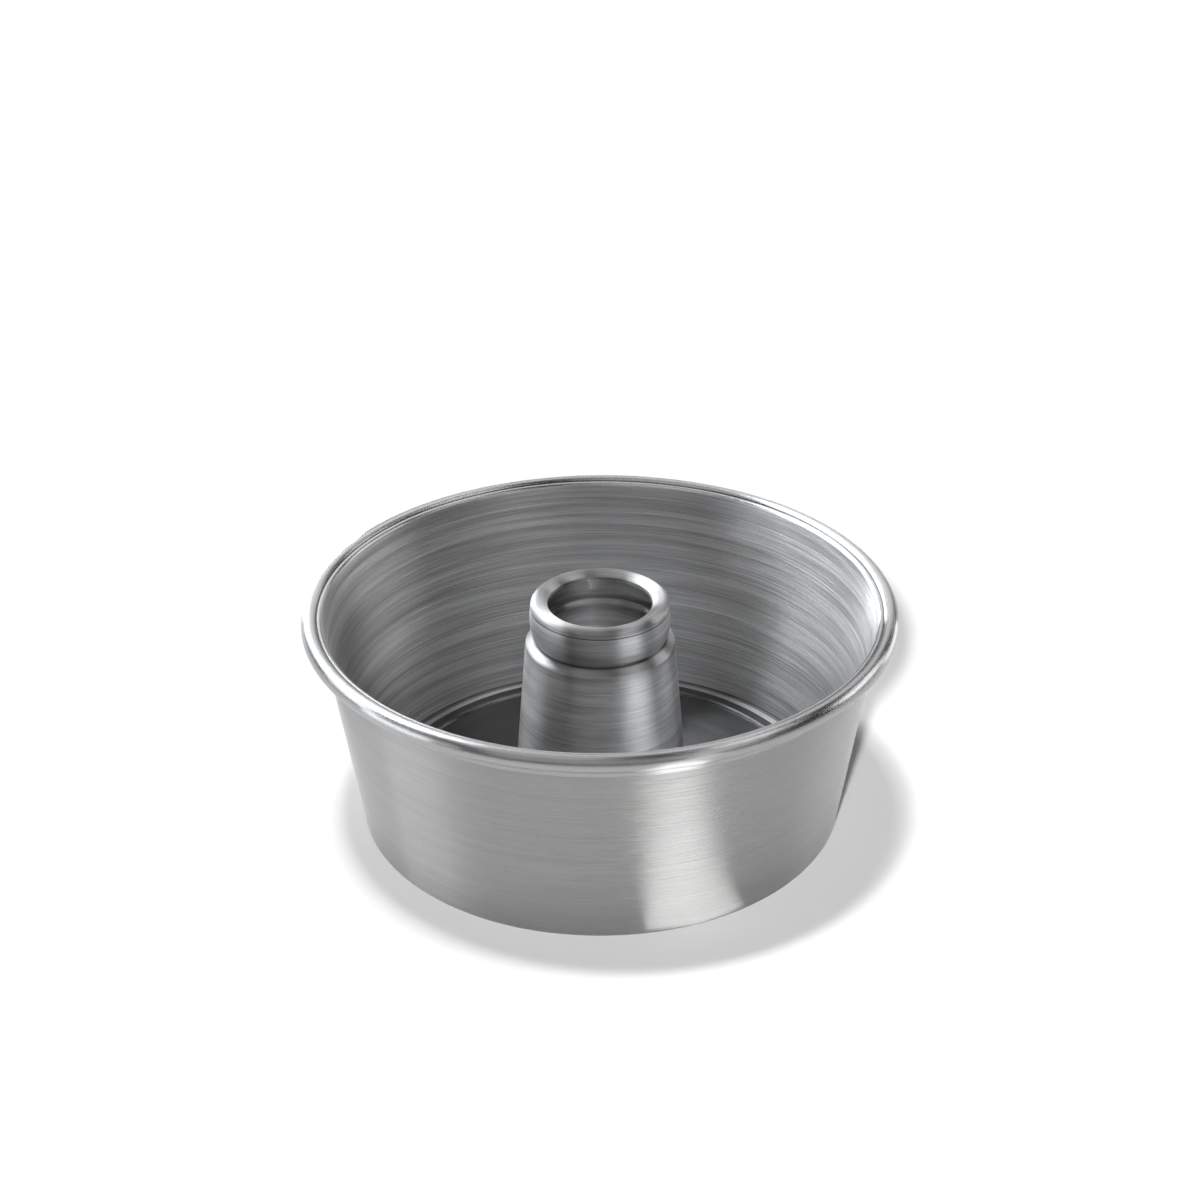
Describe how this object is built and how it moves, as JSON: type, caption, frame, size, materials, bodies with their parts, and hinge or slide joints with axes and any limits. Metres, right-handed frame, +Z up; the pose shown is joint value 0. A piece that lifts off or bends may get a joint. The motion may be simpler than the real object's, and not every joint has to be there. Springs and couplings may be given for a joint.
{
  "type": "angel food cake pan",
  "caption": "Two-piece round ring-cake pan of spun aluminium: a tapered wall with a rolled rim and an inner ledge, and a lift-out bottom with a tapered centre tube.",
  "frame": {"origin": "centre of the base, on the surface that the pan stands on", "axes": "+Z up along the spinning axis, towards the open mouth; the pan is round, so X and Y are alike, and -Y faces the viewer of the picture"},
  "size_m": [0.2724, 0.2724, 0.107],
  "materials": {
    "ring_aluminium": "bare spun aluminium with fine spinning lines round the axis",
    "plate_aluminium": "bare spun aluminium, turned in fine rings",
    "tube_aluminium": "bare spun aluminium, burnished at the lip and shoulder"
  },
  "bodies": {
    "pan": {"pan_ring": "ring_aluminium"},
    "insert": {"bottom_plate": "plate_aluminium", "centre_tube": "tube_aluminium"}
  },
  "joints": [
    {"name": "insert_lift", "type": "slide", "parent": "pan", "child": "insert", "axis": [0, 0, 1], "range_m": [0, 0.12]}
  ]
}
